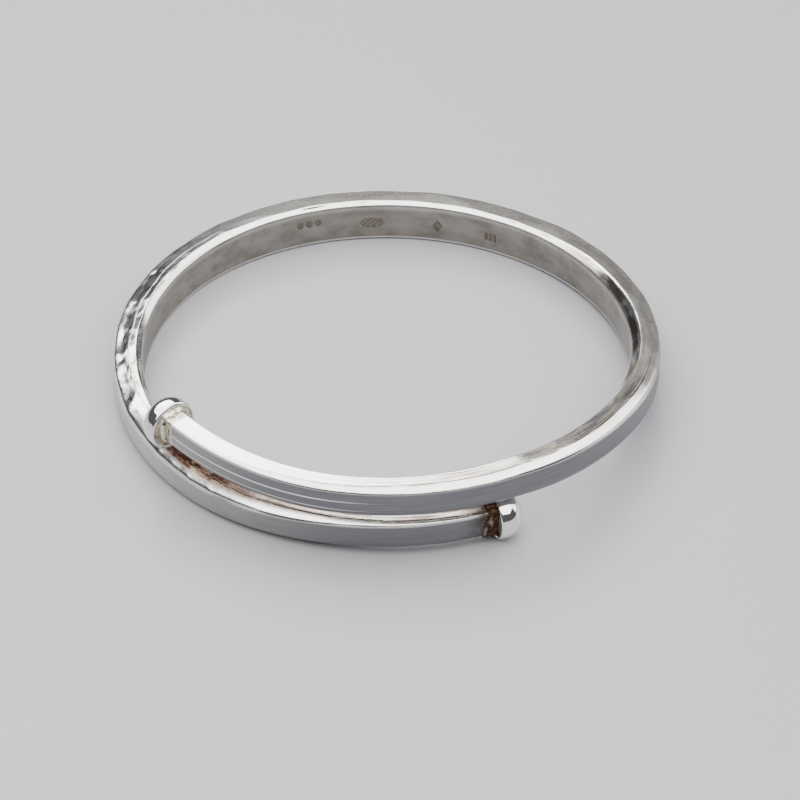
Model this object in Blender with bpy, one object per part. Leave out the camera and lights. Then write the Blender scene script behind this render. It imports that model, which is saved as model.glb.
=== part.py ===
"""Hand-forged silver bypass bangle.

One tapered bar is coiled a little more than once round the wrist, so that its two ends lie one above
the other at the front.  A turned, domed knob is soldered to each end.  The bangle lies flat, with +Z up:
the back of the ring is at +Y, the two ends pass each other at -Y, and the origin is on the surface that
it lies on, under the middle of the piece.

Angles along the bar ("run") start at the lower end and go clockwise, seen from above.
"""
import math

import bmesh
import bpy
from mathutils import Matrix, Vector

for old in list(bpy.data.objects):
    bpy.data.objects.remove(old, do_unlink=True)

MM = 0.001

# ---- driving dimensions: the ring -------------------------------------------------------------------
INNER_RADIUS = 30.5 * MM        # inside of the ring, at the back
LOWER_END_AZIMUTH = 291.0       # degrees from +X: where the lower end's cut face is
RUN = 431.0                     # degrees of bar, from the lower cut face to the upper one
STATION_STEP = 3.0              # degrees between sections

# ---- driving dimensions: the bar --------------------------------------------------------------------
BAR_WIDTH = 3.9 * MM            # across the ring's radius, at the back
BAR_HEIGHT = 5.9 * MM           # at the back, where the bar is tallest
END_WIDTH = 2.9 * MM            # the same two sizes at the ends
END_HEIGHT = 4.0 * MM
FOOT_CHAMFER = 0.3 * MM         # inner edge of the underside
SKIRT_WIDTH = 0.8 * MM          # rounded outer edge of the underside
SKIRT_HEIGHT = 0.95 * MM
SHOULDER_DROP = 2.0 * MM        # from the top down to the outer wall, at the back
END_SHOULDER_DROP = 0.4 * MM    # the same at the ends, where the forged shoulder fades out
LIP_WIDTH = 0.8 * MM            # bright bevel along the top of the inner wall
LIP_HEIGHT = 0.85 * MM
END_LIP = 0.45 * MM             # the same bevel at the ends, both ways

# ---- driving dimensions: knobs and solder -----------------------------------------------------------
UPPER_KNOB_DIAMETER = 6.4 * MM
LOWER_KNOB_DIAMETER = 6.0 * MM
KNOB_BACK_EDGE = 0.25 * MM      # rounding of the edge between the flat back and the rim
KNOB_RIM = 0.75 * MM            # straight part of the rim
KNOB_DOME = 2.35 * MM           # height of the dome over the rim
SOLDER_LENGTH = 0.7 * MM        # neck of solder between the bar and the knob
SOLDER_SPREAD = 0.35 * MM       # how far it stands out round the bar's end
JOINT_GAP = 0.3 * MM            # left between pieces that meet
PASSING_GAP = 0.35 * MM         # left between the two strands, and between a knob and a strand

# ---- values that follow -----------------------------------------------------------------------------
LOWER_KNOB_RADIUS = LOWER_KNOB_DIAMETER / 2
UPPER_KNOB_RADIUS = UPPER_KNOB_DIAMETER / 2
TURN = 360.0
UPPER_END_RUN = RUN
PASSING_RUN = TURN + LOWER_END_AZIMUTH - 295.0      # where the upper strand passes over the lower knob
LOWER_END_RISE = LOWER_KNOB_RADIUS - END_HEIGHT / 2  # the lower knob rests on the table
PASSING_RISE = LOWER_KNOB_DIAMETER + PASSING_GAP


def along(run, stations):
    """Smooth value at a run angle, through (run, value) stations, without overshoot."""
    if run <= stations[0][0]:
        return stations[0][1]
    if run >= stations[-1][0]:
        return stations[-1][1]
    runs = [s[0] for s in stations]
    values = [s[1] for s in stations]
    steps = [b - a for a, b in zip(runs, runs[1:])]
    slopes = [(b - a) / h for a, b, h in zip(values, values[1:], steps)]
    tangents = [0.0]
    for before, after in zip(slopes, slopes[1:]):
        same_way = before * after > 0
        tangents.append(2 * before * after / (before + after) if same_way else 0.0)
    tangents.append(0.0)
    i = max(k for k in range(len(steps)) if runs[k] <= run)
    t = (run - runs[i]) / steps[i]
    rise = values[i + 1] - values[i]
    return (values[i] + rise * t * t * (3 - 2 * t)
            + steps[i] * t * (1 - t) * (tangents[i] * (1 - t) - tangents[i + 1] * t))


def bar_size(run, at_back, at_end):
    """A size that is full round the back of the ring and tapers to both ends."""
    return along(run, [(0, at_end), (45, at_end + 0.25 * (at_back - at_end)), (150, at_back),
                       (250, at_back), (350, at_end + 0.3 * (at_back - at_end)), (UPPER_END_RUN, at_end)])


def bar_height(run):
    return bar_size(run, BAR_HEIGHT, END_HEIGHT)


def bar_width(run):
    return bar_size(run, BAR_WIDTH, END_WIDTH)


UPPER_KNOB_RUN = UPPER_END_RUN + 4.0
RESTING_HEIGHT = bar_height(UPPER_KNOB_RUN - TURN)   # of the lower strand, under the upper knob
UPPER_END_RISE = RESTING_HEIGHT + PASSING_GAP + UPPER_KNOB_RADIUS - END_HEIGHT / 2


def underside(run):
    """Height of the bar's underside over the table."""
    return along(run, [(0, LOWER_END_RISE), (22, 0.95 * LOWER_END_RISE), (70, 0.0), (230, 0.0),
                       (262, 0.07 * PASSING_RISE), (292, 0.28 * PASSING_RISE), (322, 0.63 * PASSING_RISE),
                       (343, 0.89 * PASSING_RISE), (PASSING_RUN, PASSING_RISE),
                       (PASSING_RUN + 25, 0.6 * PASSING_RISE + 0.4 * UPPER_END_RISE),
                       (UPPER_END_RUN, UPPER_END_RISE)])


def inner_radius(run):
    """Inside of the ring, which the forging has left a little out of round."""
    drift = along(run, [(0, 0.5 * MM), (45, 0.0), (90, -0.25 * MM), (150, 0.25 * MM), (200, -0.2 * MM),
                        (260, 0.1 * MM), (320, 0.1 * MM), (PASSING_RUN, 1.0 * MM), (390, 0.95 * MM),
                        (UPPER_END_RUN, 0.15 * MM)])
    return INNER_RADIUS + drift


def section(run):
    """Outline of the bar at a run angle, as (outwards from the inner wall, up from the underside)."""
    width = bar_width(run)
    height = bar_height(run)
    lip_width = bar_size(run, LIP_WIDTH, END_LIP)
    lip_height = bar_size(run, LIP_HEIGHT, END_LIP)
    drop = bar_size(run, SHOULDER_DROP, END_SHOULDER_DROP)
    shoulder = width - lip_width
    return [
        (0.0, FOOT_CHAMFER),
        (FOOT_CHAMFER, 0.0),
        (width - SKIRT_WIDTH, 0.0),
        (width - 0.3 * SKIRT_WIDTH, 0.35 * SKIRT_HEIGHT),
        (width, SKIRT_HEIGHT),
        (width, height - drop),
        (width - 0.07 * shoulder, height - 0.50 * drop),
        (width - 0.26 * shoulder, height - 0.14 * drop),
        (lip_width + 0.3 * shoulder, height),
        (lip_width, height - 0.02 * drop),
        (0.3 * lip_width, height - 0.35 * lip_height),
        (0.0, height - lip_height),
    ]


def ring_point(run, out, up):
    """Point at a run angle, a distance out from the ring's inner wall and up from the bar's underside."""
    azimuth = math.radians(LOWER_END_AZIMUTH - run)
    radius = inner_radius(run) + out
    return Vector((radius * math.cos(azimuth), radius * math.sin(azimuth), underside(run) + up))


def material(name, colour, roughness):
    """Silver in one of its finishes."""
    silver = bpy.data.materials.new(name)
    silver.use_nodes = True
    shader = silver.node_tree.nodes["Principled BSDF"]
    shader.inputs["Base Color"].default_value = (*colour, 1.0)
    shader.inputs["Metallic"].default_value = 1.0
    shader.inputs["Roughness"].default_value = roughness
    return silver


def add_object(name, shape, finish):
    """Close the shape, point its faces outwards and link it as a named object."""
    bmesh.ops.recalc_face_normals(shape, faces=shape.faces)
    mesh = bpy.data.meshes.new(name)
    shape.to_mesh(mesh)
    shape.free()
    mesh.materials.append(finish)
    mesh.shade_smooth()
    mesh.set_sharp_from_angle(angle=math.radians(25))
    piece = bpy.data.objects.new(name, mesh)
    bpy.context.scene.collection.objects.link(piece)
    return piece


def skin(rings, shape):
    """Join closed rings of points, one after another, and cap both ends."""
    rows = [[shape.verts.new(point) for point in ring] for ring in rings]
    for row, following in zip(rows, rows[1:]):
        for i in range(len(row)):
            j = (i + 1) % len(row)
            shape.faces.new((row[i], row[j], following[j], following[i]))
    shape.faces.new(rows[0])
    shape.faces.new(reversed(rows[-1]))


def make_band(finish):
    """The forged bar, swept round the ring section by section."""
    count = round(RUN / STATION_STEP)
    rings = []
    for k in range(count + 1):
        run = RUN * k / count
        rings.append([ring_point(run, out, up) for out, up in section(run)])
    shape = bmesh.new()
    skin(rings, shape)
    return add_object("band", shape, finish)


def end_frame(run, outwards):
    """Frame at the middle of the bar's end face: Z along the bar and away from it, X out, Y up."""
    centre = ring_point(run, bar_width(run) / 2, bar_height(run) / 2)
    azimuth = math.radians(LOWER_END_AZIMUTH - run)
    out = Vector((math.cos(azimuth), math.sin(azimuth), 0.0))
    away = Vector((0, 0, 1)).cross(out) * outwards
    up = away.cross(out)
    frame = Matrix((out, up, away)).transposed().to_4x4()
    return Matrix.Translation(centre) @ frame


def turned_rings(profile, sides):
    """Rings of points round Z for a profile of (distance along Z, radius)."""
    rings = []
    for along_axis, radius in profile:
        rings.append([Vector((radius * math.cos(math.tau * i / sides),
                              radius * math.sin(math.tau * i / sides), along_axis)) for i in range(sides)])
    return rings


def make_knob(name, frame, diameter, finish):
    """A turned button: flat back, rounded edge, short rim and a full dome."""
    radius = diameter / 2
    start = JOINT_GAP + SOLDER_LENGTH + JOINT_GAP
    profile = [(start, radius - KNOB_BACK_EDGE * 1.6),
               (start + 0.3 * KNOB_BACK_EDGE, radius - 0.5 * KNOB_BACK_EDGE),
               (start + KNOB_BACK_EDGE, radius),
               (start + KNOB_BACK_EDGE + KNOB_RIM, radius)]
    dome_start = start + KNOB_BACK_EDGE + KNOB_RIM
    dome_steps = 7
    for k in range(1, dome_steps):
        angle = math.pi / 2 * k / dome_steps
        profile.append((dome_start + KNOB_DOME * math.sin(angle), radius * math.cos(angle) ** 0.85))
    profile.append((dome_start + KNOB_DOME, radius * 0.12))
    shape = bmesh.new()
    skin([[frame @ point for point in ring] for ring in turned_rings(profile, 28)], shape)
    return add_object(name, shape, finish)


def make_solder(name, frame, run, finish):
    """The collar of solder between the bar's cut end and the flat back of its knob."""
    half_width = bar_width(run) / 2
    half_height = bar_height(run) / 2
    rings = []
    for depth, spread in ((0.0, 0.0), (0.35, 0.25), (0.75, 0.7), (1.0, 1.0)):
        ring = []
        sides = 20
        for i in range(sides):
            angle = math.tau * i / sides
            reach = (abs(math.cos(angle)) ** 3 + abs(math.sin(angle)) ** 3) ** (-1 / 3)
            ring.append(frame @ Vector(((half_width * 0.93 + spread * SOLDER_SPREAD) * reach * math.cos(angle),
                                        (half_height * 0.93 + spread * SOLDER_SPREAD) * reach * math.sin(angle),
                                        JOINT_GAP + depth * SOLDER_LENGTH)))
        rings.append(ring)
    shape = bmesh.new()
    skin(rings, shape)
    return add_object(name, shape, finish)


def centre_over_origin(pieces):
    """Hang all pieces on one empty that puts the middle of their common box over the origin."""
    points = [vertex.co for piece in pieces for vertex in piece.data.vertices]
    middle = [(min(p[axis] for p in points) + max(p[axis] for p in points)) / 2 for axis in (0, 1)]
    bangle = bpy.data.objects.new("bangle", None)
    bangle.location = (-middle[0], -middle[1], 0.0)
    bpy.context.scene.collection.objects.link(bangle)
    for piece in pieces:
        piece.parent = bangle


hammered_silver = material("hammered_silver", (0.62, 0.60, 0.57), 0.28)
polished_silver = material("polished_silver", (0.78, 0.77, 0.74), 0.12)
cast_solder = material("cast_solder", (0.52, 0.48, 0.38), 0.45)

pieces = [make_band(hammered_silver)]
for label, run, outwards, diameter in (("lower", 0.0, 1, LOWER_KNOB_DIAMETER),
                                       ("upper", UPPER_END_RUN, -1, UPPER_KNOB_DIAMETER)):
    end = end_frame(run, outwards)
    pieces.append(make_solder(label + "_solder_collar", end, run, cast_solder))
    pieces.append(make_knob(label + "_end_knob", end, diameter, polished_silver))
centre_over_origin(pieces)
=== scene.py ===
"""A wrap-over bangle, hand-forged from one silver bar, with a turned knob soldered to each end.

Lengths are in millimetres until a point is placed, and "run" is the angle along the bar in degrees: it
starts at the lower end's cut face and goes clockwise, seen from above.  "Place" goes round the bar's
section: whole numbers are its corners, counted from the inner foot, along the underside, up the outer
wall, over the shoulder and the lip, and down the inner wall.
"""
import math

import bmesh
import bpy
from mathutils import Matrix, Vector, noise


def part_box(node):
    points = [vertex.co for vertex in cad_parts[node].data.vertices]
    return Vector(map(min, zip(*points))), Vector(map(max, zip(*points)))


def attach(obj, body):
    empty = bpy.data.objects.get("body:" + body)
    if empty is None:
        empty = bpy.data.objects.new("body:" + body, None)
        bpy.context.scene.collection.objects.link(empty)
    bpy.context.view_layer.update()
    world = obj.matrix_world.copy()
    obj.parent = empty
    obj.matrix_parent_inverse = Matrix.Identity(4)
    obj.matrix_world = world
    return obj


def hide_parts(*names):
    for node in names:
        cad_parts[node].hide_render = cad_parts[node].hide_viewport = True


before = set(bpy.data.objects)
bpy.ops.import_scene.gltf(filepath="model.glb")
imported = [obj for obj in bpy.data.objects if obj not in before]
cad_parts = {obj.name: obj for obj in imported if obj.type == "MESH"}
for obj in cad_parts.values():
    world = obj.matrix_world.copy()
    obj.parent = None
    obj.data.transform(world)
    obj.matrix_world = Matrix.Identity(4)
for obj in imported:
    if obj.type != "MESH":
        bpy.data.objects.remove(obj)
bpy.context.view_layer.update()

MM = 0.001
TURN = 360.0

# ---- the ring and the bar, as in the CAD ----------------
INNER_RADIUS = 30.5
LOWER_END_AZIMUTH = 291.0
KNOB_AZIMUTH = 295.0            # where the upper strand passes over the lower knob
RUN = 431.0
BAR_WIDTH, BAR_HEIGHT = 3.9, 5.9
END_WIDTH, END_HEIGHT = 2.9, 4.0
FOOT = 0.3
SKIRT_WIDTH, SKIRT_HEIGHT = 0.8, 0.95
SHOULDER_DROP, END_SHOULDER_DROP = 2.0, 0.4
LIP_WIDTH, LIP_HEIGHT, END_LIP = 0.8, 0.85, 0.45
UPPER_KNOB_RADIUS, LOWER_KNOB_RADIUS = 3.2, 3.0
KNOB_BACK_EDGE, KNOB_RIM, KNOB_DOME = 0.25, 0.75, 2.35
SOLDER_LENGTH = 0.7
JOINT_GAP, PASSING_GAP = 0.3, 0.35
KNOB_START = JOINT_GAP + SOLDER_LENGTH + JOINT_GAP
PASSING_RUN = TURN + LOWER_END_AZIMUTH - KNOB_AZIMUTH
PASSING_RISE = 2 * LOWER_KNOB_RADIUS + PASSING_GAP
LOWER_END_RISE = LOWER_KNOB_RADIUS - END_HEIGHT / 2
KNOB_BEYOND_END = 4.0           # degrees from the upper end's face to the middle of its knob

# ---- how finely the bar is meshed -----------------------
STATION_STEP = 0.56             # degrees, about 0.3 mm
MARK_STEP = 0.18                # degrees, about 0.1 mm, where a mark is punched
SURFACE_STEP = 0.26             # mm round the section
WALL_STEP = 0.16                # mm up the inner wall, which carries the marks
ROUNDING_STEPS = 4              # faces round each corner of the section
MOST_ROUNDING = 0.48            # share of a side that a corner's rounding may take
BACK_RUN = 200                  # run angle of the back, where the section is full size


def through(value, pairs):
    """Smooth value through (place, height) pairs, without overshoot."""
    if value <= pairs[0][0]:
        return pairs[0][1]
    if value >= pairs[-1][0]:
        return pairs[-1][1]
    places = [pair[0] for pair in pairs]
    heights = [pair[1] for pair in pairs]
    steps = [b - a for a, b in zip(places, places[1:])]
    slopes = [(b - a) / h for a, b, h in zip(heights, heights[1:], steps)]
    tangents = [0.0]
    for before, after in zip(slopes, slopes[1:]):
        same_way = before * after > 0
        tangents.append(2 * before * after / (before + after) if same_way else 0.0)
    tangents.append(0.0)
    i = max(k for k in range(len(steps)) if places[k] <= value)
    t = (value - places[i]) / steps[i]
    rise = heights[i + 1] - heights[i]
    return (heights[i] + rise * t * t * (3 - 2 * t)
            + steps[i] * t * (1 - t) * (tangents[i] * (1 - t) - tangents[i + 1] * t))


def bar_size(run, at_back, at_end):
    """A size that is full round the back of the ring and tapers to both ends."""
    return through(run, [(0, at_end), (45, at_end + 0.25 * (at_back - at_end)), (150, at_back),
                         (250, at_back), (350, at_end + 0.3 * (at_back - at_end)), (RUN, at_end)])


def bar_width(run):
    return bar_size(run, BAR_WIDTH, END_WIDTH)


def bar_height(run):
    return bar_size(run, BAR_HEIGHT, END_HEIGHT)


UPPER_END_RISE = (bar_height(RUN + KNOB_BEYOND_END - TURN) + PASSING_GAP + UPPER_KNOB_RADIUS
                  - END_HEIGHT / 2)


def underside(run):
    """Height of the bar's underside over the bench."""
    return through(run, [(0, LOWER_END_RISE), (22, 0.95 * LOWER_END_RISE), (70, 0.0), (230, 0.0),
                         (262, 0.07 * PASSING_RISE), (292, 0.28 * PASSING_RISE), (322, 0.63 * PASSING_RISE),
                         (343, 0.89 * PASSING_RISE), (PASSING_RUN, PASSING_RISE),
                         (PASSING_RUN + 25, 0.6 * PASSING_RISE + 0.4 * UPPER_END_RISE),
                         (RUN, UPPER_END_RISE)])


def inner_radius(run):
    """Inside of the ring, which the forging has left a little out of round."""
    return INNER_RADIUS + through(run, [(0, 0.5), (45, 0.0), (90, -0.25), (150, 0.25), (200, -0.2),
                                        (260, 0.1), (320, 0.1), (PASSING_RUN, 1.0), (390, 0.95),
                                        (RUN, 0.15)])


def stations(*pairs):
    """A size that goes smoothly through (run, size) stations."""
    return lambda run: through(run, pairs)


# Sizes that the bar's corners are a share of, in mm at a run angle.
SIZES = {
    "fixed": lambda run: 1.0,                   # for shares that are millimetres
    "width": bar_width,
    "height": bar_height,
    "drop": stations((0, END_SHOULDER_DROP), (30, 0.8), (55, 1.4), (90, 1.75), (150, SHOULDER_DROP),
                     (250, SHOULDER_DROP), (350, 0.88), (RUN, END_SHOULDER_DROP)),
    # the slope from the ridge to the inner wall: narrow at the back, broad on the right
    "lip_width": stations((0, END_LIP), (45, 0.55), (110, LIP_WIDTH), (150, LIP_WIDTH), (176, 0.5),
                          (235, 0.5), (262, 1.1), (285, 1.25), (300, 1.1), (325, 0.7), (RUN, END_LIP)),
    "lip_height": stations((0, END_LIP), (45, 0.55), (110, LIP_HEIGHT), (150, LIP_HEIGHT), (176, 0.56),
                           (235, 0.56), (262, 1.0), (285, 1.1), (300, 1.0), (325, 0.7), (RUN, END_LIP)),
    # the forged bevel between the top and the outer wall
    "bevel_width": stations((0, 0.3), (20, 0.5), (45, 1.0), (75, 1.2), (110, 1.1), (150, 0.95), (260, 0.95),
                            (300, 1.1), (370, 1.0), (400, 0.6), (RUN, 0.3)),
    "bevel_fall": stations((0, 0.12), (20, 0.3), (42, 0.75), (62, 1.0), (85, 0.95), (110, 0.87), (145, 0.85),
                           (172, 0.66), (270, 0.66), (300, 0.7), (316, 0.74), (370, 0.5), (400, 0.3),
                           (RUN, 0.12)),
    "top_fall": stations((0, 0.04), (45, 0.1), (75, 0.2), (100, 0.5), (120, 0.64), (145, 0.6), (172, 0.46),
                         (270, 0.48), (300, 0.34), (322, 0.1), (370, 0.05), (RUN, 0.03)),
    # a filed edge half way up the outer wall, near the upper end
    "wall_ridge": stations((378, 0.0), (400, 0.08), (RUN, 0.1)),
}

# Each corner: its shares of the sizes outwards and upwards, and its rounding in mm.
CORNERS = [
    ({}, {"fixed": FOOT}, 0.14),                                                # 0 inner foot
    ({"fixed": FOOT}, {}, 0.14),
    ({"width": 1, "fixed": -SKIRT_WIDTH}, {}, 0.4),                             # 2 skirt
    ({"width": 1, "fixed": -0.3 * SKIRT_WIDTH}, {"fixed": 0.35 * SKIRT_HEIGHT}, 0.3),
    ({"width": 1}, {"fixed": SKIRT_HEIGHT}, 0.3),                               # 4 foot of the outer wall
    ({"width": 1, "wall_ridge": 1}, {"height": 0.5, "drop": -0.5, "fixed": 0.45}, 0.12),
    ({"width": 1}, {"height": 1, "drop": -1}, 0.22),                            # 6 top of the outer wall
    ({"width": 1, "bevel_width": -0.16}, {"height": 1, "bevel_fall": -1}, 0.3),
    ({"width": 1, "bevel_width": -1}, {"height": 1, "top_fall": -1}, 0.2),      # 8 edge of the top
    ({"width": 0.4, "lip_width": 0.6}, {"height": 1, "top_fall": -0.48}, 0.3),
    ({"lip_width": 1}, {"height": 1, "fixed": 0.03}, 0.12),                     # 10 ridge
    ({"lip_width": 0.45}, {"height": 1, "lip_height": -0.45}, 0.2),
    ({}, {"height": 1, "lip_height": -0.86}, 0.14),                             # 12 top of the inner wall
]
WALL_TOP = 12                   # the inner wall goes down from this place to place 13, the inner foot


def measured(shares, run):
    """A corner's distance at a run angle, from its shares of the sizes."""
    return sum(share * SIZES[size](run) for size, share in shares.items())


def section_corners(run):
    """The section's corners at a run angle, out from the inner wall and up from the underside."""
    return [Vector((measured(out, run), measured(up, run))) for out, up, rounding in CORNERS]


def blended(corners, shares):
    """The point that is so much of each corner."""
    return sum((corners[i] * share for i, share in shares.items()), Vector((0, 0)))


def ring_point(run, out, up):
    """Point at a run angle, out from the inner wall and up from the underside, before centring."""
    azimuth = math.radians(LOWER_END_AZIMUTH - run)
    radius = inner_radius(run) + out
    return Vector((radius * math.cos(azimuth), radius * math.sin(azimuth), underside(run) + up))


def find_ring_centre():
    """How far the ring's centre is from the origin: the band has to fill the box of its CAD node."""
    low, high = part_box("band")
    points = [ring_point(run, *corner) for run in range(int(RUN) + 1) for corner in section_corners(run)]
    middle = [(min(p[k] for p in points) + max(p[k] for p in points)) / 2 for k in (0, 1)]
    return Vector(((low.x + high.x) / 2 - middle[0] * MM, (low.y + high.y) / 2 - middle[1] * MM, 0.0))


RING_CENTRE = find_ring_centre()


# ---- helpers --------------------------------------------
def linear(colour):
    """Linear colour of an sRGB hex value."""
    parts = [int(colour[k:k + 2], 16) / 255 for k in (1, 3, 5)]
    return tuple(p / 12.92 if p <= 0.04045 else ((p + 0.055) / 1.055) ** 2.4 for p in parts) + (1.0,)


MATH, VECTOR, MIX = "ShaderNodeMath", "ShaderNodeVectorMath", "ShaderNodeMix"
BETWEEN = "ShaderNodeMapRange"
KEPT = "GeometryNodeInputNamedAttribute"        # what a tree reads off the bar's points
ZONE = "ShaderNodeAttribute"                    # what a finish reads off them


def add(tree, kind, inputs=None, stops=(), **settings):
    """Adds one node. inputs gives each socket its value, or the node or output that feeds it."""
    made = tree.nodes.new(kind)
    for name, value in settings.items():
        setattr(made, name, value)
    for k, (position, colour) in enumerate(stops):
        elements = made.color_ramp.elements
        stop = elements[k] if k < 2 else elements.new(position)
        stop.position = position
        stop.color = linear(colour)
    for socket, value in (inputs or {}).items():
        if isinstance(value, bpy.types.Node):
            value = value.outputs[0]
        if isinstance(value, bpy.types.NodeSocket):
            tree.links.new(value, made.inputs[socket])
        else:
            made.inputs[socket].default_value = value
    return made


def new_material(name):
    """A material with an empty tree."""
    finish = bpy.data.materials.new(name)
    finish.use_nodes = True
    finish.node_tree.nodes.clear()
    return finish, finish.node_tree


def add_metal(tree, colour, rough, relief):
    """A metal that its colour, roughness and relief feed, and the tree's output."""
    metal = add(tree, "ShaderNodeBsdfPrincipled", {"Metallic": 1.0, "Base Color": colour, "Roughness": rough,
                                                   "Normal": relief})
    add(tree, "ShaderNodeOutputMaterial", {"Surface": metal})


def put_in_scene(name, data):
    """A new object of a mesh, a light or a camera, linked into the scene."""
    thing = bpy.data.objects.new(name, data)
    bpy.context.scene.collection.objects.link(thing)
    return thing


def add_piece(name, mesh, finish, cad_node):
    """A finished mesh as a piece that stands for its CAD node."""
    mesh.materials.clear()
    mesh.materials.append(finish)
    piece = put_in_scene(name, mesh)
    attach(piece, "root")
    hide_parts(cad_node)


def face_outwards(mesh):
    """Turns a closed mesh's faces outwards."""
    shape = bmesh.new()
    shape.from_mesh(mesh)
    bmesh.ops.recalc_face_normals(shape, faces=shape.faces)
    shape.to_mesh(mesh)
    shape.free()


def add_guide(name, points, edges, numbers):
    """Points and edges for a tree to work from, with named numbers and vectors on the points."""
    mesh = bpy.data.meshes.new(name)
    mesh.from_pydata(points, edges, [])
    for label, values in numbers.items():
        if isinstance(values[0], Vector):
            mesh.attributes.new(label, "FLOAT_VECTOR", "POINT").data.foreach_set(
                "vector", [x for v in values for x in v])
        else:
            mesh.attributes.new(label, "FLOAT", "POINT").data.foreach_set("value", values)
    return put_in_scene(name, mesh)


# ---- where the bar's surface has each character ---------
# Each zone is a share along the bar, by run, times a share round its section, by place.
ALL_ROUND = [(0, 1.0), (13, 1.0)]
ZONES = {
    # hammer blows: all over the shoulder of the back and sides, nearly gone on the upper strand
    "hammered": ([(0, 0.25), (50, 0.4), (72, 1.0), (140, 1.0), (170, 0.7), (255, 0.7), (300, 0.7),
                  (316, 0.35), (345, 0.2), (390, 0.1), (RUN, 0.0)],
                 [(1.5, 0.0), (2.5, 0.3), (4.2, 0.1), (5.8, 0.3), (6.3, 1.0), (10.0, 1.0), (10.6, 0.2),
                  (11.4, 0.0)]),
    # sharp folds between the deepest blows, on the left
    "creased": ([(45, 0.0), (68, 0.8), (85, 1.0), (140, 1.0), (165, 0.3), (185, 0.0)],
                [(6.6, 0.0), (7.2, 0.7), (8.0, 1.0), (9.6, 0.9), (10.0, 0.2), (10.3, 0.0)]),
    # the inner wall, filed and rubbed smooth but not buffed, and a little of the outer one; its dark grey
    # tone is painted shade
    "satin": ([(0, 1.0), (RUN, 1.0)],
              [(0, 0.3), (5.9, 0.3), (6.2, 0.2), (7.0, 0.0), (11.8, 0.0), (12.2, 1.0), (13, 1.0)]),
    # the outer wall and the underside, painted greyer than the rest as shade, less so on the left
    "greyed": ([(0, 1.0), (30, 0.95), (60, 0.6), (85, 0.3), (120, 0.3), (150, 0.8), (180, 1.0), (400, 1.0),
                (RUN, 0.7)],
               [(0.2, 0.0), (0.8, 1.0), (5.85, 1.0), (6.15, 0.0)]),
    # shoulder brushed matt at the back and the right
    "matt": ([(125, 0.0), (160, 0.5), (190, 1.0), (298, 1.0), (309, 0.4), (318, 0.0)],
             [(5.7, 0.1), (6.2, 1.0), (9.7, 1.0), (10.1, 0.0)]),
    # drawn streaks on the inner half of the top, at the front
    "streaked": ([(0, 0.9), (40, 0.9), (75, 0.3), (110, 0.0), (290, 0.0), (312, 1.0), (368, 0.9), (385, 0.35),
                  (400, 0.12), (RUN, 0.0)],
                 [(7.7, 0.0), (8.0, 0.8), (8.3, 1.0), (10.2, 1.0), (10.8, 0.3), (11.4, 0.0)]),
    # brown tarnish where the lower strand is shut in under the upper one
    "tarnished": ([(0, 0.75), (8, 0.35), (30, 0.4), (50, 0.8), (58, 1.0), (80, 1.0), (90, 0.0)],
                  [(7.2, 0.0), (7.5, 0.6), (7.8, 1.0), (12.0, 1.0), (12.6, 0.5), (13, 0.3)]),
    # a darker line under the ridge, on the right
    "lip_tarnished": ([(244, 0.0), (258, 0.8), (270, 1.0), (292, 1.0), (304, 0.0)],
                      [(10.25, 0.0), (10.5, 1.0), (11.7, 1.0), (11.95, 0.0)]),
    # where a fine scored line runs along the hammered top, on the left
    "scored": ([(94, 0.0), (106, 1.0), (146, 1.0), (162, 0.0)],
               ALL_ROUND),
    # the edge between the lip and the inner wall, worn bright on the right
    "worn_edge": ([(226, 0.0), (250, 1.0), (306, 1.0), (325, 0.0)],
                  [(11.75, 0.0), (11.9, 1.0), (12.02, 1.0), (12.05, 0.0)]),
    # the lower end, stained by the heat of soldering
    "end_tarnished": ([(0, 1.0), (1.2, 0.9), (3.0, 0.4), (6.0, 0.0)],
                      ALL_ROUND),
    # painted glints: bright lines along two edges of the upper strand's wall
    "rubbed": ([(380, 0.0), (396, 1.0), (RUN, 1.0)],
               ALL_ROUND),
    # where a dark line is worn in between the top and the bevel
    "grooved": ([(0, 1.0), (45, 0.6), (80, 0.0), (285, 0.0), (305, 1.0), (372, 1.0), (392, 0.6), (412, 0.0)],
                ALL_ROUND),
}


# ---- punched marks on the inner wall --------------------
# Plain shapes, each given as how far a point lies inside it, in mm.
def three_dots(x, y):
    return max(0.45 - math.hypot(x - middle, y) for middle in (-1.2, 0.0, 1.2))


def hatched_oval(x, y):
    edge = 1.0 - math.hypot(x / 1.5, y / 0.75)
    hatch = 0.5 + 0.5 * math.cos(math.tau * (x + y) / 0.75)
    return min(0.7 * edge, 0.25 * hatch - 0.04)


def open_diamond(x, y):
    reach = abs(x) / 0.65 + abs(y) / 0.95
    return min(1.0 - reach, reach - 0.35) * 0.5


def barred_box(x, y):
    edge = min(0.8 - abs(x), 0.55 - abs(y))
    return min(edge, 0.12 + 0.2 * math.cos(math.tau * x / 0.62))


# run, height over the bench, length, shape
MARKS = [(181.6, 3.5, 3.6, three_dots), (197.4, 2.7, 3.2, hatched_oval),
         (213.8, 2.6, 1.6, open_diamond), (227.6, 2.5, 1.9, barred_box)]
MARK_DEPTH = 0.15
MARK_EDGE = 0.12                # mm over which a mark's side slopes
MARK_REACH = 1.5                # mm over and under a mark's middle that it may touch
MARK_MARGIN = 0.6               # of a mark's length, on each side, where the bar is meshed finely


def station_runs():
    """Run angles of the bar's sections, closer together where a mark is punched."""
    runs = [0.0]
    while runs[-1] < RUN:
        here = runs[-1]
        near_mark = any(abs(here - run) < math.degrees(MARK_MARGIN * length / INNER_RADIUS)
                        for run, height, length, shape in MARKS)
        runs.append(min(RUN, here + (MARK_STEP if near_mark else STATION_STEP)))
    return runs


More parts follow.
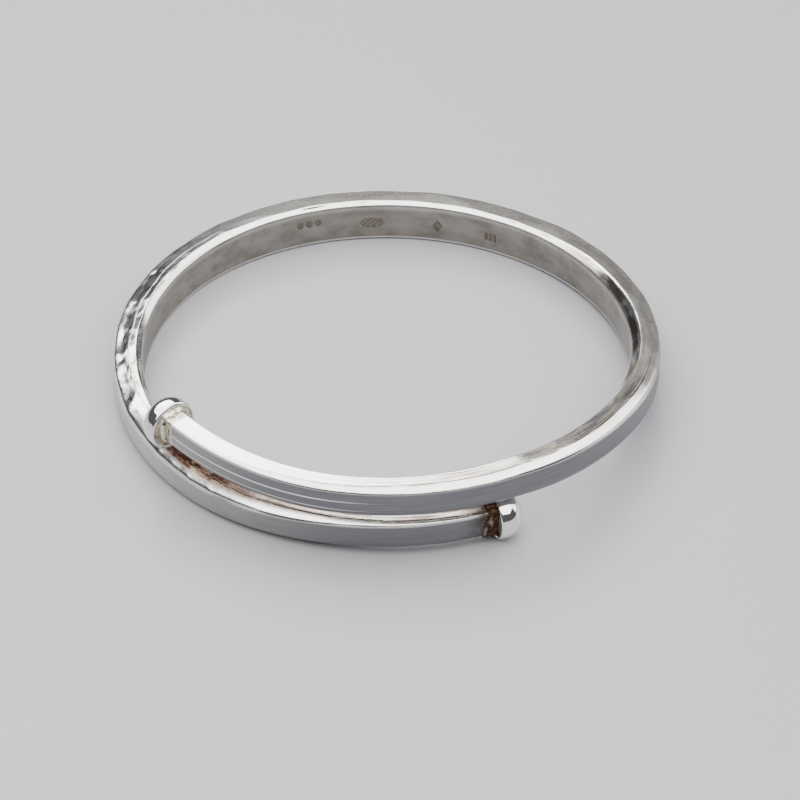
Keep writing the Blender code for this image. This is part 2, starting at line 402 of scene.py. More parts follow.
def section_points():
    """Points round the section: (place, share of each corner), with every corner rounded."""
    count = len(CORNERS)
    back = section_corners(BACK_RUN)
    sides = [(back[(i + 1) % count] - back[i]).length for i in range(count)]
    points = []
    for i in range(count):
        before, after = (i - 1) % count, (i + 1) % count
        rounding = CORNERS[i][2]
        share_before = min(MOST_ROUNDING, rounding / sides[before])
        share_after = min(MOST_ROUNDING, rounding / sides[i])
        for k in range(ROUNDING_STEPS + 1):
            t = k / ROUNDING_STEPS
            shares = {before: (1 - t) ** 2 * share_before,
                      i: (1 - t) ** 2 * (1 - share_before) + 2 * t * (1 - t) + t * t * (1 - share_after),
                      after: t * t * share_after}
            points.append((i + (t - 0.5) * (share_before + share_after), shares))
        left = share_after
        right = 1 - min(MOST_ROUNDING, CORNERS[after][2] / sides[i])
        step = WALL_STEP if i == WALL_TOP else SURFACE_STEP
        inner = max(0, round((right - left) * sides[i] / step) - 1)
        for k in range(1, inner + 1):
            t = left + (right - left) * k / (inner + 1)
            points.append((i + t, {i: 1 - t, after: t}))
    return points


def make_section():
    """The bar's section as a closed outline that carries its shares of the bar's sizes."""
    points = section_points()
    back = section_corners(BACK_RUN)
    flat = [blended(back, shares) for place, shares in points]
    around = [0.0]
    for a, b in zip(flat, flat[1:]):
        around.append(around[-1] + (b - a).length)
    numbers = {"around": around, "place": [place for place, shares in points]}
    for size in SIZES:
        for k, way in ((0, "out_"), (1, "up_")):
            numbers[way + size] = [sum(CORNERS[i][k].get(size, 0.0) * s for i, s in shares.items())
                                   for place, shares in points]
    for zone, (along_bar, round_section) in ZONES.items():
        numbers[zone + "_round"] = [through(place, round_section) for place, shares in points]
    edges = [(k, (k + 1) % len(points)) for k in range(len(points))]
    corners = [(p.x * MM, p.y * MM, 0.0) for p in flat]
    return add_guide("bar_section", corners, edges, numbers)


def make_path():
    """The foot of the bar's inner wall as a line of points that carries the bar's sizes."""
    runs = station_runs()
    spots = [ring_point(run, 0.0, 0.0) for run in runs]
    distance = [0.0]
    for before, after in zip(spots, spots[1:]):
        distance.append(distance[-1] + (after - before).length)
    numbers = {
        "spot": [spot * MM + RING_CENTRE for spot in spots],
        "outward": [Vector((math.cos(math.radians(LOWER_END_AZIMUTH - run)),
                            math.sin(math.radians(LOWER_END_AZIMUTH - run)), 0.0)) for run in runs],
        "along": distance,
        "run": runs,
    }
    for size, measure in SIZES.items():
        numbers[size + "_size"] = [measure(run) * MM for run in runs]
    for zone, (along_bar, round_section) in ZONES.items():
        numbers[zone + "_along"] = [through(run, along_bar) for run in runs]
    edges = [(k, k + 1) for k in range(len(runs) - 1)]
    return add_guide("bar_path", numbers["spot"], edges, numbers)


# ---- Geometry Nodes: sweeping and hammering the bar -----
RIPPLE_OFFSET = 40.0                # mm, so that small blows don't follow the large ones
MEAN_BOWL = 0.7                     # of a bowl's depth: blows sink and raise the surface about equally
SWAY_PITCH = 0.11                   # per mm: how slowly the bar's surface sways
FOLD_PITCH = (0.24, 0.62, 0.0)      # per mm along and round: folds run along the bar
FOLD_EDGE = 0.22
BREAK_PITCH = 0.45                  # per mm: how often a fold is broken


def sweep(tree, given):
    """The section swept along the path, with each of its points set out by the bar's sizes there."""
    path = add(tree, "GeometryNodeMeshToCurve", {"Mesh": given["Geometry"]})
    outline = add(tree, "GeometryNodeObjectInfo", {"Object": given["Section"]})
    outline = add(tree, "GeometryNodeMeshToCurve", {"Mesh": outline.outputs["Geometry"]})
    bar = add(tree, "GeometryNodeCurveToMesh", {"Curve": path, "Profile Curve": outline, "Fill Caps": True})
    reach = {"out_": 0.0, "up_": 0.0}
    for size in SIZES:
        full = add(tree, KEPT, {"Name": size + "_size"})
        for way in reach:
            share = add(tree, KEPT, {"Name": way + size})
            reach[way] = add(tree, MATH, {0: full, 1: share, 2: reach[way]}, operation="MULTIPLY_ADD")
    outward = add(tree, KEPT, {"Name": "outward"}, data_type="FLOAT_VECTOR")
    outward = add(tree, VECTOR, {0: outward, "Scale": reach["out_"]}, operation="SCALE")
    upward = add(tree, "ShaderNodeCombineXYZ", {"Z": reach["up_"]})
    spot = add(tree, KEPT, {"Name": "spot"}, data_type="FLOAT_VECTOR")
    for step in (outward, upward):
        spot = add(tree, VECTOR, {0: spot, 1: step}, operation="ADD")
    return add(tree, "GeometryNodeSetPosition", {"Geometry": bar, "Position": spot})


def keep_surface(tree, bar):
    """Keeps each zone's share, and the distances along and round the bar, on its points."""
    for zone in ZONES:
        along = add(tree, KEPT, {"Name": zone + "_along"})
        around = add(tree, KEPT, {"Name": zone + "_round"})
        share = add(tree, MATH, {0: along, 1: around}, operation="MULTIPLY")
        bar = add(tree, "GeometryNodeStoreNamedAttribute", {"Geometry": bar, "Name": zone, "Value": share},
                  data_type="FLOAT", domain="POINT")
    along = add(tree, KEPT, {"Name": "along"})
    around = add(tree, KEPT, {"Name": "around"})
    surface = add(tree, "ShaderNodeCombineXYZ", {"X": along, "Y": around})
    return add(tree, "GeometryNodeStoreNamedAttribute", {"Geometry": bar, "Name": "bar_mm", "Value": surface},
               data_type="FLOAT_VECTOR", domain="POINT")


def hammer_dents(tree, given, surface):
    """How deep large and small hammer blows and the bar's slow sway lie, in mm."""
    dents = 0.0
    for blow, offset in (("Blow", 0.0), ("Ripple", RIPPLE_OFFSET)):
        spot = add(tree, VECTOR, {0: surface, 1: (offset, offset, offset)}, operation="ADD")
        pitch = add(tree, MATH, {0: 1.0, 1: given[blow + " spacing mm"]}, operation="DIVIDE")
        cell = add(tree, "ShaderNodeTexVoronoi", {"Vector": spot, "Scale": pitch, "Randomness": 0.9},
                   feature="F1")
        bowl = add(tree, MATH, {0: cell.outputs["Distance"], 1: 2.0}, operation="POWER")
        bowl = add(tree, MATH, {0: 1.0, 1: bowl}, operation="SUBTRACT", use_clamp=True)
        bowl = add(tree, MATH, {0: bowl, 1: MEAN_BOWL}, operation="SUBTRACT")
        dents = add(tree, MATH, {0: bowl, 1: given[blow + " depth mm"], 2: dents}, operation="MULTIPLY_ADD")
    sway = add(tree, "ShaderNodeTexNoise", {"Vector": surface, "Scale": SWAY_PITCH, "Detail": 1.0})
    sway = add(tree, MATH, {0: sway, 1: 0.5}, operation="SUBTRACT")
    return add(tree, MATH, {0: sway, 1: given["Sway depth mm"], 2: dents}, operation="MULTIPLY_ADD")


def fold_lines(tree, given, surface):
    """How deep the sharp, broken folds between the blows lie, in mm."""
    folds = add(tree, VECTOR, {0: surface, 1: FOLD_PITCH}, operation="MULTIPLY")
    folds = add(tree, "ShaderNodeTexVoronoi", {"Vector": folds, "Scale": 1.0, "Randomness": 1.0},
                feature="DISTANCE_TO_EDGE")
    folds = add(tree, BETWEEN, {"Value": folds, "From Max": FOLD_EDGE, "To Min": 1.0, "To Max": 0.0},
                interpolation_type="SMOOTHSTEP")
    breaks = add(tree, "ShaderNodeTexNoise", {"Vector": surface, "Scale": BREAK_PITCH, "Detail": 2.0})
    breaks = add(tree, BETWEEN, {"Value": breaks, "From Min": 0.48, "From Max": 0.62},
                 interpolation_type="SMOOTHSTEP")
    creased = add(tree, KEPT, {"Name": "creased"})
    for share in (breaks, creased, given["Crease depth mm"]):
        folds = add(tree, MATH, {0: folds, 1: share}, operation="MULTIPLY")
    return folds


def forging_tree():
    """Sweeps the section along the path, then strikes it with large and small hammer blows."""
    tree = bpy.data.node_groups.new("forging", "GeometryNodeTree")
    face = tree.interface
    face.new_socket("Geometry", in_out="INPUT", socket_type="NodeSocketGeometry")
    for name, kind in (("Section", "Object"), ("Blow spacing mm", "Float"), ("Blow depth mm", "Float"),
                       ("Ripple spacing mm", "Float"), ("Ripple depth mm", "Float"),
                       ("Sway depth mm", "Float"), ("Crease depth mm", "Float"), ("Finish", "Material")):
        face.new_socket(name, in_out="INPUT", socket_type="NodeSocket" + kind)
    face.new_socket("Geometry", in_out="OUTPUT", socket_type="NodeSocketGeometry")
    given = add(tree, "NodeGroupInput").outputs

    bar = keep_surface(tree, sweep(tree, given))
    surface = add(tree, KEPT, {"Name": "bar_mm"}, data_type="FLOAT_VECTOR")
    dents = hammer_dents(tree, given, surface)
    folds = fold_lines(tree, given, surface)
    hammered = add(tree, KEPT, {"Name": "hammered"})
    depth = add(tree, MATH, {0: dents, 1: hammered, 2: folds}, operation="MULTIPLY_ADD")
    depth = add(tree, MATH, {0: depth, 1: -MM}, operation="MULTIPLY")
    pushed = add(tree, VECTOR, {0: add(tree, "GeometryNodeInputNormal"), "Scale": depth}, operation="SCALE")
    bar = add(tree, "GeometryNodeSetPosition", {"Geometry": bar, "Offset": pushed})
    bar = add(tree, "GeometryNodeSetShadeSmooth", {"Geometry": bar})
    bar = add(tree, "GeometryNodeRealizeInstances", {"Geometry": bar})
    bar = add(tree, "GeometryNodeSetMaterial", {"Geometry": bar, "Material": given["Finish"]})
    add(tree, "NodeGroupOutput", {"Geometry": bar})
    return tree


def run_tree(source, tree, values):
    """The plain mesh that a tree makes of a source object, with its named inputs set."""
    maker = source.modifiers.new(tree.name, "NODES")
    maker.node_group = tree
    for item in tree.interface.items_tree:
        if item.name in values:
            maker[item.identifier] = values[item.name]
    graph = bpy.context.evaluated_depsgraph_get()
    made = bpy.data.meshes.new_from_object(source.evaluated_get(graph))
    source.modifiers.clear()
    return made


def punch_marks(mesh):
    """Presses the marks into the inner wall, and keeps how deep each point lies as an attribute."""
    places = [0.0] * len(mesh.vertices)
    mesh.attributes["place"].data.foreach_get("value", places)
    depth = [0.0] * len(places)
    for vertex in mesh.vertices:
        if places[vertex.index] < WALL_TOP:
            continue
        ring = vertex.co - RING_CENTRE
        azimuth = math.degrees(math.atan2(ring.y, ring.x))
        for run, height, length, shape in MARKS:
            x = math.radians((azimuth - LOWER_END_AZIMUTH + run) % TURN) * INNER_RADIUS
            x = min(x, x - math.tau * INNER_RADIUS, key=abs)
            y = ring.z / MM - height
            if abs(x) < length and abs(y) < MARK_REACH:
                inside = max(0.0, min(1.0, shape(x, y) / MARK_EDGE + 0.5))
                depth[vertex.index] = inside
                vertex.co += Vector((ring.x, ring.y, 0.0)).normalized() * inside * MARK_DEPTH * MM
    mesh.attributes.new("punched", "FLOAT", "POINT").data.foreach_set("value", depth)


def forget_making(mesh):
    """Takes off the numbers that only the making of the bar needed."""
    used = ["spot", "outward", "around", "along", "run"]
    for size in SIZES:
        used += [size + "_size", "out_" + size, "up_" + size]
    for zone in ZONES:
        used += [zone + "_along", zone + "_round"]
    for label in used:
        mesh.attributes.remove(mesh.attributes[label])


def make_band(finish):
    """The forged bar: swept, hammered and marked."""
    section = make_section()
    path = make_path()
    mesh = run_tree(path, forging_tree(), {
        "Section": section, "Blow spacing mm": 4.6, "Blow depth mm": 0.28, "Ripple spacing mm": 1.9,
        "Ripple depth mm": 0.06, "Sway depth mm": 0.2, "Crease depth mm": 0.05, "Finish": finish})
    for source in (section, path):
        bpy.data.objects.remove(source, do_unlink=True)
    face_outwards(mesh)
    punch_marks(mesh)
    forget_making(mesh)
    add_piece("forged_bar", mesh, finish, "band")


# ---- knobs and solder -----------------------------------
SIDES = 120                         # points round each knob and each run of solder
BACK_BORDER = 0.42                  # mm of smooth border round a knob's cast back
BACK_DISH = 0.14
DISH_EDGE = 0.12                    # mm over which the dish rises to the border
ROLLED_EDGE = 0.3
DOME_FULLNESS = 0.85                # below 1 the dome is fuller than an ellipse
BACK_STEPS, DISH_STEPS, EDGE_STEPS, RIM_STEPS, DOME_STEPS = 16, 8, 10, 3, 30
CAST_LUMP, CAST_PIT = 0.05, 0.35    # mm, in the cast skin on a knob's back
SOLDER_ROWS = 36
SOLDER_LUMP, SOLDER_PIT = 0.03, 0.2     # shares of the distance from the bar's middle line
PIT_BROWN = 3.0                     # how much of a pit's depth is added to its stain
# how far the solder stands out from the bar's outline, by distance from the bar's end, in mm
SOLDER_FLARE = [(-0.55, -0.2), (-0.45, -0.04), (-0.2, 0.02), (0.3, 0.03), (0.85, 0.03), (1.1, 0.08),
                (1.3, 0.22), (1.45, 0.36), (1.5, 0.3)]
# how rough and how stained it is, as shares, by the same distance
SOLDER_ROUGHNESS = [(-0.25, 0.0), (0.35, 1.0), (1.2, 1.0), (1.5, 0.3)]
SOLDER_STAIN = [(-0.6, 0.7), (0.1, 1.0), (1.2, 1.0), (1.5, 0.5)]


def end_frame(run, outwards):
    """Frame at the middle of the bar's end face, in metres: Z along the bar and away from it, X out, Y up."""
    centre = ring_point(run, bar_width(run) / 2, bar_height(run) / 2) * MM + RING_CENTRE
    azimuth = math.radians(LOWER_END_AZIMUTH - run)
    out = Vector((math.cos(azimuth), math.sin(azimuth), 0.0))
    away = Vector((0, 0, 1)).cross(out) * outwards
    up = away.cross(out)
    return Matrix.Translation(centre) @ Matrix((out, up, away)).transposed().to_4x4() @ Matrix.Scale(MM, 4)


def skin(name, rings, label, values):
    """A closed mesh over rings of points, with a single point as its first and its last ring, that carries
    one named number on its points."""
    sides = len(rings[1])
    points = [point for ring in rings for point in ring]
    faces = [(0, 1 + (i + 1) % sides, 1 + i) for i in range(sides)]
    for row in range(len(rings) - 3):
        start = 1 + row * sides
        for i in range(sides):
            j = (i + 1) % sides
            faces.append((start + i, start + j, start + sides + j, start + sides + i))
    last = len(points) - 1
    start = last - sides
    faces += [(last, start + i, start + (i + 1) % sides) for i in range(sides)]
    mesh = bpy.data.meshes.new(name)
    mesh.from_pydata(points, [], faces)
    mesh.attributes.new(label, "FLOAT", "POINT").data.foreach_set("value", values)
    face_outwards(mesh)
    mesh.shade_smooth()
    return mesh


def knob_profile(radius):
    """A knob's profile from the middle of its back to the top of its dome: (distance along its axis, radius,
    how much cast skin is left)."""
    disc = radius - BACK_BORDER
    profile = [(KNOB_START + BACK_DISH, disc * k / BACK_STEPS, 1.0) for k in range(BACK_STEPS + 1)]
    for k in range(1, DISH_STEPS + 1):
        t = k / DISH_STEPS
        profile.append((KNOB_START + BACK_DISH / 2 * (1 + math.cos(math.pi * t)), disc + DISH_EDGE * t,
                        max(0.0, 1.0 - t / 0.75)))
    for k in range(1, EDGE_STEPS + 1):
        angle = math.pi / 2 * k / EDGE_STEPS
        profile.append((KNOB_START + ROLLED_EDGE * (1 - math.cos(angle)),
                        radius - ROLLED_EDGE * (1 - math.sin(angle)), 0.0))
    rim_start = KNOB_START + ROLLED_EDGE
    dome_start = KNOB_START + KNOB_BACK_EDGE + KNOB_RIM
    for k in range(1, RIM_STEPS + 1):
        profile.append((rim_start + (dome_start - rim_start) * k / RIM_STEPS, radius, 0.0))
    for k in range(1, DOME_STEPS + 1):
        angle = math.pi / 2 * k / DOME_STEPS
        profile.append((dome_start + KNOB_DOME * math.sin(angle),
                        radius * max(0.0, math.cos(angle)) ** DOME_FULLNESS, 0.0))
    return profile


def make_knob(name, frame_matrix, radius, cad_node, finish):
    """A turned button: cast, slightly dished back, rolled edge, short rim and a full dome."""
    profile = knob_profile(radius)
    rings = []
    skin_left = []
    for row, (depth, reach, cast) in enumerate(profile):
        ring = []
        for i in range(1 if row in (0, len(profile) - 1) else SIDES):
            angle = math.tau * i / SIDES
            spot = Vector((reach * math.cos(angle), reach * math.sin(angle), depth))
            lumps = noise.noise(spot * 1.1 + Vector((7.0, radius, 0.0)))
            pits = max(0.0, noise.noise(spot * 2.6 + Vector((0.0, 31.0, radius))) - 0.25)
            spot.z += cast * (CAST_LUMP * lumps + CAST_PIT * pits)
            ring.append(frame_matrix @ spot)
            skin_left.append(cast)
        rings.append(ring)
    mesh = skin(name, rings, "cast_skin", skin_left)
    add_piece(name, mesh, finish, cad_node)


def end_outline(run):
    """How far the bar's outline is from its middle at a run angle, at equal angles all round."""
    corners = section_corners(run)
    middle = Vector((bar_width(run) / 2, bar_height(run) / 2))
    outline = [blended(corners, shares) - middle for place, shares in section_points()]
    outline = sorted((math.atan2(p.y, p.x) % math.tau, p.length) for p in outline)
    outline = ([(outline[-1][0] - math.tau, outline[-1][1])] + outline
               + [(outline[0][0] + math.tau, outline[0][1])])
    return [through(math.tau * i / SIDES, outline) for i in range(SIDES)]


def make_solder(name, frame_matrix, run, brown, cad_node, finish):
    """The run of solder that fills the corner between the bar's end and the back of its knob."""
    outline = end_outline(run)
    start, end = SOLDER_FLARE[0][0], SOLDER_FLARE[-1][0]
    rings = [[frame_matrix @ Vector((0, 0, start))]]
    browned = [0.0]
    for row in range(SOLDER_ROWS + 1):
        depth = start + (end - start) * row / SOLDER_ROWS
        rough = through(depth, SOLDER_ROUGHNESS)
        stained = brown * through(depth, SOLDER_STAIN)
        ring = []
        for i in range(SIDES):
            angle = math.tau * i / SIDES
            reach = outline[i] + through(depth, SOLDER_FLARE)
            spot = Vector((reach * math.cos(angle), reach * math.sin(angle), depth))
            lumps = noise.noise(spot * 0.9 + Vector((run, 0.0, 0.0)))
            pits = max(0.0, noise.noise(spot * 1.5 + Vector((0.0, run, 0.0))) - 0.22)
            spot.xy *= 1 + rough * (SOLDER_LUMP * lumps - SOLDER_PIT * pits)
            ring.append(frame_matrix @ spot)
            browned.append(min(1.0, stained * (1.0 + lumps) + PIT_BROWN * rough * pits))
        rings.append(ring)
    rings.append([frame_matrix @ Vector((0, 0, end))])
    browned.append(0.0)
    mesh = skin(name, rings, "browned", browned)
    add_piece(name, mesh, finish, cad_node)


# ---- finishes -------------------------------------------
# Grains of the bar's surface: how wide and how long their marks are in mm, and their finer detail.
GRAINS = {
    "streaks": (0.32, 9.0, 3.0),        # drawn along the bar
    "fine": (0.09, 3.5, 2.0),           # polishing scratches, coarser than real ones so that they show
    "cloud": (2.4, 3.6, 3.0),           # slow changes of tone
    "crumbs": (0.35, 0.7, 4.0),         # ragged edges of tarnish
    "brushed": (1.3, 0.22, 3.0),        # strokes across the shoulder, coarser than real ones as well
    "wander": (9.0, 7.0, 3.0),          # how the groove strays
    "waver": (9.0, 5.0, 2.0),           # how the scored line strays
    "gaps": (30.0, 2.5, 4.0),           # where the groove is broken
}
# Places of the lines along the bar. The groove and the scored line stray from theirs by the grain.
GROOVE_PLACE, SCORE_PLACE = 7.85, 8.9
MIDDLE_EDGE, LOWER_EDGE = 5.02, 4.12    # edges of the outer wall, where the painted glints run


def grain(tree, surface, across, along, detail):
    """Noise whose marks are so many millimetres wide and long on the bar's surface."""
    stretched = add(tree, VECTOR, {0: surface, 1: (1 / along, 1 / across, 1.0)}, operation="MULTIPLY")
    return add(tree, "ShaderNodeTexNoise", {"Vector": stretched, "Scale": 1.0, "Detail": detail,
                                            "Roughness": 0.6}).outputs["Fac"]


def patchy(tree, share, grains, low, high):
    """A share broken up by grains: none of it where they add up to less than low, all of it over high."""
    total = grains[0]
    for other in grains[1:]:
        total = add(tree, MATH, {0: total, 1: other}, operation="ADD")
    cover = add(tree, BETWEEN, {"Value": total, "From Min": low, "From Max": high},
                interpolation_type="SMOOTHSTEP")
    return add(tree, MATH, {0: share, 1: cover}, operation="MULTIPLY")


def two_tone(tree, grains, low, high, first, second):
    """A colour that drifts from one tone to a second one with the grain."""
    drift = patchy(tree, 1.0, grains, low, high)
    return add(tree, MIX, {0: drift, 6: linear(first), 7: linear(second)}, data_type="RGBA").outputs[2]


def thin_line(tree, share, place, middle, core, edge):
    """A line in one zone, where place is near middle: full as far as core from it, gone beyond edge."""
    off = add(tree, MATH, {0: place, 1: middle}, operation="SUBTRACT")
    off = add(tree, MATH, {0: off}, operation="ABSOLUTE")
    line = add(tree, BETWEEN, {"Value": off, "From Min": core, "From Max": edge, "To Min": 1.0,
                               "To Max": 0.0}, interpolation_type="SMOOTHSTEP")
    return add(tree, MATH, {0: line, 1: share}, operation="MULTIPLY")


def silver_marks(tree, surface, zones, grains):
    """How strongly each mark of making and of wear shows, and each painted glint."""
    streaks, cloud, crumbs = grains["streaks"], grains["cloud"], grains["crumbs"]
    place = zones["place"]
    groove_place = add(tree, MATH, {0: grains["wander"], 1: 0.5, 2: GROOVE_PLACE}, operation="MULTIPLY_ADD")
    groove = thin_line(tree, zones["grooved"], place, groove_place, 0.05, 0.2)
    score_place = add(tree, MATH, {0: grains["waver"], 1: 0.7, 2: SCORE_PLACE}, operation="MULTIPLY_ADD")
    folds = add(tree, VECTOR, {0: surface, 1: FOLD_PITCH}, operation="MULTIPLY")
    folds = add(tree, "ShaderNodeTexVoronoi", {"Vector": folds, "Scale": 1.0, "Randomness": 1.0},
                feature="DISTANCE_TO_EDGE")
    folds = thin_line(tree, zones["creased"], folds, 0.0, 0.0, 0.16)
    return {
        "drawn": patchy(tree, zones["streaked"], [streaks], 0.43, 0.62),
        "stain": patchy(tree, zones["tarnished"], [streaks, crumbs], 0.55, 0.9),
        "lip_dark_line": patchy(tree, zones["lip_tarnished"], [streaks, cloud], 0.7, 1.05),
        "end_stain": patchy(tree, zones["end_tarnished"], [cloud, crumbs], 0.6, 1.1),
        "groove": patchy(tree, groove, [grains["gaps"]], 0.35, 0.5),
        "score": thin_line(tree, zones["scored"], place, score_place, 0.02, 0.08),
        "middle_edge_glint": thin_line(tree, zones["rubbed"], place, MIDDLE_EDGE, 0.02, 0.09),
        "lower_edge_glint": thin_line(tree, zones["rubbed"], place, LOWER_EDGE, 0.02, 0.09),
        "folds": patchy(tree, folds, [cloud, crumbs], 0.85, 1.15),
    }


def tarnish(tree, place, cloud, crumbs):
    """Silver sulphide: nearly black where it is thick, thinning to a beige film towards the bevel."""
    thinness = patchy(tree, 1.0, [crumbs, cloud], 0.7, 1.25)
    outer_half = add(tree, BETWEEN, {"Value": place, "From Min": 8.0, "From Max": 9.4, "To Min": 1.0,
                                     "To Max": 0.0}, interpolation_type="SMOOTHSTEP")
    thinness = add(tree, MATH, {0: outer_half, 1: 0.2, 2: thinness}, operation="MULTIPLY_ADD")
    return add(tree, "ShaderNodeValToRGB", {"Fac": thinness},
               stops=[(0.0, "#281612"), (1.0, "#b5a28c"), (0.35, "#50332a"), (0.65, "#80614f")])


def silver_colour(tree, zones, grains, marks):
    """Bright silver, with each other tone laid over it in turn."""
    streaks, cloud, crumbs = grains["streaks"], grains["cloud"], grains["crumbs"]
    matt = add(tree, MATH, {0: zones["matt"], 1: 0.85}, operation="MULTIPLY")
    punched = add(tree, MATH, {0: zones["punched"], 1: 0.6}, operation="MULTIPLY")
    tones = [
        # painted shade: the walls' dark grey tone; the satin roughness with it is real
        (zones["satin"], two_tone(tree, [cloud], 0.3, 0.75, "#938e87", "#767169")),
        # painted shade: a grey tone over the outer wall and the underside
        (zones["greyed"], two_tone(tree, [streaks], 0.3, 0.7, "#707174", "#7d7d80")),
        (matt, two_tone(tree, [cloud, grains["brushed"]], 0.75, 1.2, "#716c66", "#a39e97")),
        (marks["drawn"], linear("#97866f")),
        (marks["stain"], tarnish(tree, zones["place"], cloud, crumbs)),
        (marks["end_stain"], linear("#4b3e36")),
        # a darker brownish grey under the ridge, on the right
        (marks["lip_dark_line"], linear("#8a7c70")),
        (zones["worn_edge"], linear("#f7f5f0")),
        (marks["groove"], linear("#4a4540")),
        # painted highlight: glints along two edges of the upper strand's wall
        (marks["middle_edge_glint"], linear("#fbf9f4")),
        (marks["lower_edge_glint"], linear("#fbf9f4")),
        (marks["folds"], linear("#85807a")),
        (punched, linear("#5c5146")),
    ]
    colour = two_tone(tree, [cloud], 0.35, 0.7, "#f6f4f0", "#e8e6e1")
    for share, tone in tones:
        colour = add(tree, MIX, {0: share, 6: colour, 7: tone}, data_type="RGBA").outputs[2]
    return colour


def silver_roughness(tree, zones, grains, marks):
    """From the mirror of the burnished top to the dull skin of tarnish."""
    rough = add(tree, BETWEEN, {"Value": zones["satin"], "To Min": 0.15, "To Max": 0.34})
    scratched = patchy(tree, 1.0, [grains["fine"]], 0.4, 0.8)
    for share, amount in ((marks["drawn"], 0.2), (marks["stain"], 0.35), (zones["greyed"], 0.12),
                          (marks["score"], 0.45), (zones["matt"], 0.24), (scratched, 0.05)):
        rough = add(tree, MATH, {0: share, 1: amount, 2: rough}, operation="MULTIPLY_ADD")
    return rough


def silver_relief(tree, zones, grains, marks):
    """Drawn streaks and lines, then fine scratches, then the crust of tarnish and brushing."""
    drawn = add(tree, MATH, {0: zones["streaked"], 1: 0.03}, operation="ADD")
    drawn = add(tree, MATH, {0: drawn, 1: grains["streaks"]}, operation="MULTIPLY")
    drawn = add(tree, MATH, {0: marks["groove"], 1: -0.8, 2: drawn}, operation="MULTIPLY_ADD")
    drawn = add(tree, MATH, {0: drawn, 1: marks["score"]}, operation="ADD")
    brushed = add(tree, MATH, {0: grains["brushed"], 1: 0.05}, operation="MULTIPLY")
    brushed = add(tree, MATH, {0: zones["matt"], 1: brushed}, operation="MULTIPLY")
    crust = add(tree, MATH, {0: marks["stain"], 1: grains["crumbs"], 2: brushed}, operation="MULTIPLY_ADD")
    relief = None
    for height, strength, depth in ((drawn, 1.0, 0.03), (grains["fine"], 0.35, 0.004), (crust, 1.0, 0.05)):
        inputs = {"Strength": strength, "Distance": depth * MM, "Height": height}
        if relief:
            inputs["Normal"] = relief
        relief = add(tree, "ShaderNodeBump", inputs)
    return relief


def forged_silver():
    """Fine silver, forged and burnished: bright on the bevels and hammered top, greyer on the filed walls,
    where the grey is painted shade, with painted glints along the upper strand's wall, drawn streaks and
    brown silver sulphide where polishing cloth never reaches."""
    finish, tree = new_material("Forged_Silver")
    surface = add(tree, ZONE, attribute_name="bar_mm").outputs["Vector"]
    zones = {label: add(tree, ZONE, attribute_name=label).outputs["Fac"]
             for label in [*ZONES, "place", "punched"] if label != "hammered"}
    grains = {label: grain(tree, surface, *sizes) for label, sizes in GRAINS.items()}
    known = (tree, zones, grains, silver_marks(tree, surface, zones, grains))
    add_metal(tree, silver_colour(*known), silver_roughness(*known), silver_relief(*known))
    return finish


def polished_silver():
    """Silver buffed to a mirror, with the yellowed, pitted casting skin left on the knob's flat back."""
    finish, tree = new_material("Polished_Silver")
    spots = add(tree, "ShaderNodeTexCoord").outputs["Object"]
    cast = add(tree, ZONE, attribute_name="cast_skin").outputs["Fac"]
    pits = add(tree, "ShaderNodeTexNoise", {"Vector": spots, "Scale": 1 / (0.55 * MM), "Detail": 4.0,
                                            "Roughness": 0.65}).outputs["Fac"]
    haze = add(tree, "ShaderNodeTexNoise", {"Vector": spots, "Scale": 1 / (1.6 * MM), "Detail": 2.0})
    skin_colour = add(tree, "ShaderNodeValToRGB", {"Fac": pits},
                      stops=[(0.3, "#5f5140"), (0.6, "#efeadf"), (0.4, "#cdc3ad")])
    colour = add(tree, MIX, {0: cast, 6: linear("#f0efec"), 7: skin_colour}, data_type="RGBA").outputs[2]
    shine = add(tree, BETWEEN, {"Value": haze.outputs["Fac"], "From Min": 0.35, "From Max": 0.75,
                                "To Min": 0.06, "To Max": 0.13})
    rough = add(tree, MIX, {0: cast, 2: shine, 3: 0.42}, data_type="FLOAT")
    height = add(tree, MATH, {0: pits, 1: cast}, operation="MULTIPLY")
    bump = add(tree, "ShaderNodeBump", {"Strength": 1.0, "Distance": 0.08 * MM, "Height": height})
    add_metal(tree, colour, rough, bump)
    return finish


def cast_solder():
    """Silver solder as it froze: cream-grey, lumpy and pitted, browned in its hollows."""
    finish, tree = new_material("Cast_Solder")
    spots = add(tree, "ShaderNodeTexCoord").outputs["Object"]
    browned = add(tree, ZONE, attribute_name="browned").outputs["Fac"]
    freckles = add(tree, "ShaderNodeTexNoise", {"Vector": spots, "Scale": 1 / (0.45 * MM), "Detail": 4.0,
                                                "Roughness": 0.65}).outputs["Fac"]
    pale = add(tree, "ShaderNodeValToRGB", {"Fac": freckles},
               stops=[(0.3, "#9c917e"), (0.7, "#f3f0e8"), (0.48, "#dcd6c8")])
    dark = add(tree, "ShaderNodeValToRGB", {"Fac": freckles},
               stops=[(0.35, "#31231b"), (0.68, "#6c5647"), (0.5, "#4a3429")])
    colour = add(tree, MIX, {0: browned, 6: pale, 7: dark}, data_type="RGBA").outputs[2]
    rough = add(tree, BETWEEN, {"Value": browned, "To Min": 0.3, "To Max": 0.6})
    bump = add(tree, "ShaderNodeBump", {"Strength": 1.0, "Distance": 0.04 * MM, "Height": freckles})
    add_metal(tree, colour, rough, bump)
    return finish


# ---- bench, light and camera ----------------------------
BENCH = 0.55                        # metres from the middle of the bench to its edges
CAMERA_RISE = 38.5                  # degrees over the bench
CAMERA_DISTANCE = 0.45
LENS, SENSOR = 161.95, 36.0
AIM = (1.794, -3.960, 0.0)          # mm from the ring's centre


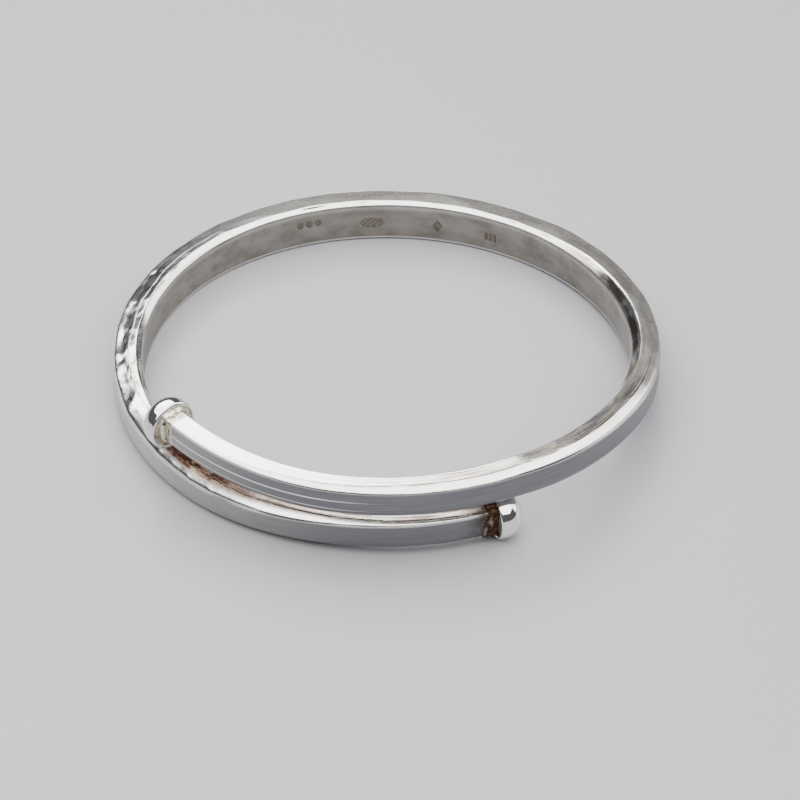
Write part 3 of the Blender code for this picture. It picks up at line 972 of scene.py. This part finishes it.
def make_floor():
    """A plain bench top of pale painted board, which has an even, soft sheen."""
    mesh = bpy.data.meshes.new("bench")
    corners = [(-BENCH, -BENCH, 0), (BENCH, -BENCH, 0), (BENCH, BENCH, 0), (-BENCH, BENCH, 0)]
    mesh.from_pydata(corners, [], [(0, 1, 2, 3)])
    finish = bpy.data.materials.new("Painted_Board")
    finish.use_nodes = True
    shader = finish.node_tree.nodes["Principled BSDF"]
    shader.inputs["Base Color"].default_value = linear("#98989b")
    shader.inputs["Roughness"].default_value = 0.42
    mesh.materials.append(finish)
    put_in_scene("bench", mesh)


def add_softbox(name, spot, aim, size, radiance):
    """A soft light panel; radiance is how bright its face is."""
    lamp = bpy.data.lights.new(name, "AREA")
    lamp.shape = "RECTANGLE"
    lamp.size, lamp.size_y = size
    lamp.energy = radiance * math.pi * size[0] * size[1]
    panel = put_in_scene(name, lamp)
    panel.location = spot
    panel.rotation_euler = (Vector(aim) - Vector(spot)).to_track_quat("-Z", "Y").to_euler()


def add_lights():
    """A big overhead softbox, a long one at the back left, a small one on the right, and a dim grey room."""
    add_softbox("overhead", (0.0, -0.155, 0.62), (0.0, -0.155, 0), (1.75, 1.19), 4.6)
    add_softbox("back_left", (-0.363, 0.877, 0.83), (0, 0, 0), (1.12, 0.42), 7.0)
    add_softbox("right", (0.91, 0.36, 0.36), (0, 0, 0), (0.8, 0.5), 3.4)
    world = bpy.data.worlds.new("room")
    world.use_nodes = True
    world.node_tree.nodes["Background"].inputs["Color"].default_value = linear("#5f6064")
    world.node_tree.nodes["Background"].inputs["Strength"].default_value = 0.9
    bpy.context.scene.world = world


def add_camera():
    """A long lens a little above the front of the bangle."""
    rise = math.radians(CAMERA_RISE)
    aim = Vector(AIM) * MM + RING_CENTRE
    lens = bpy.data.cameras.new("camera")
    lens.sensor_width = SENSOR
    lens.lens = LENS
    camera = put_in_scene("camera", lens)
    camera.location = aim + Vector((0.0, -math.cos(rise), math.sin(rise))) * CAMERA_DISTANCE
    camera.rotation_euler = (math.pi / 2 - rise, 0.0, 0.0)
    bpy.context.scene.camera = camera


silver = forged_silver()
mirror = polished_silver()
solder = cast_solder()
make_band(silver)
lower_frame = end_frame(0.0, 1)
upper_frame = end_frame(RUN, -1)
make_solder("lower_solder", lower_frame, 0.0, 1.9, "lower_solder_collar", solder)
make_solder("upper_solder", upper_frame, RUN, 0.05, "upper_solder_collar", solder)
make_knob("lower_knob", lower_frame, LOWER_KNOB_RADIUS, "lower_end_knob", mirror)
make_knob("upper_knob", upper_frame, UPPER_KNOB_RADIUS, "upper_end_knob", mirror)
make_floor()
add_lights()
add_camera()
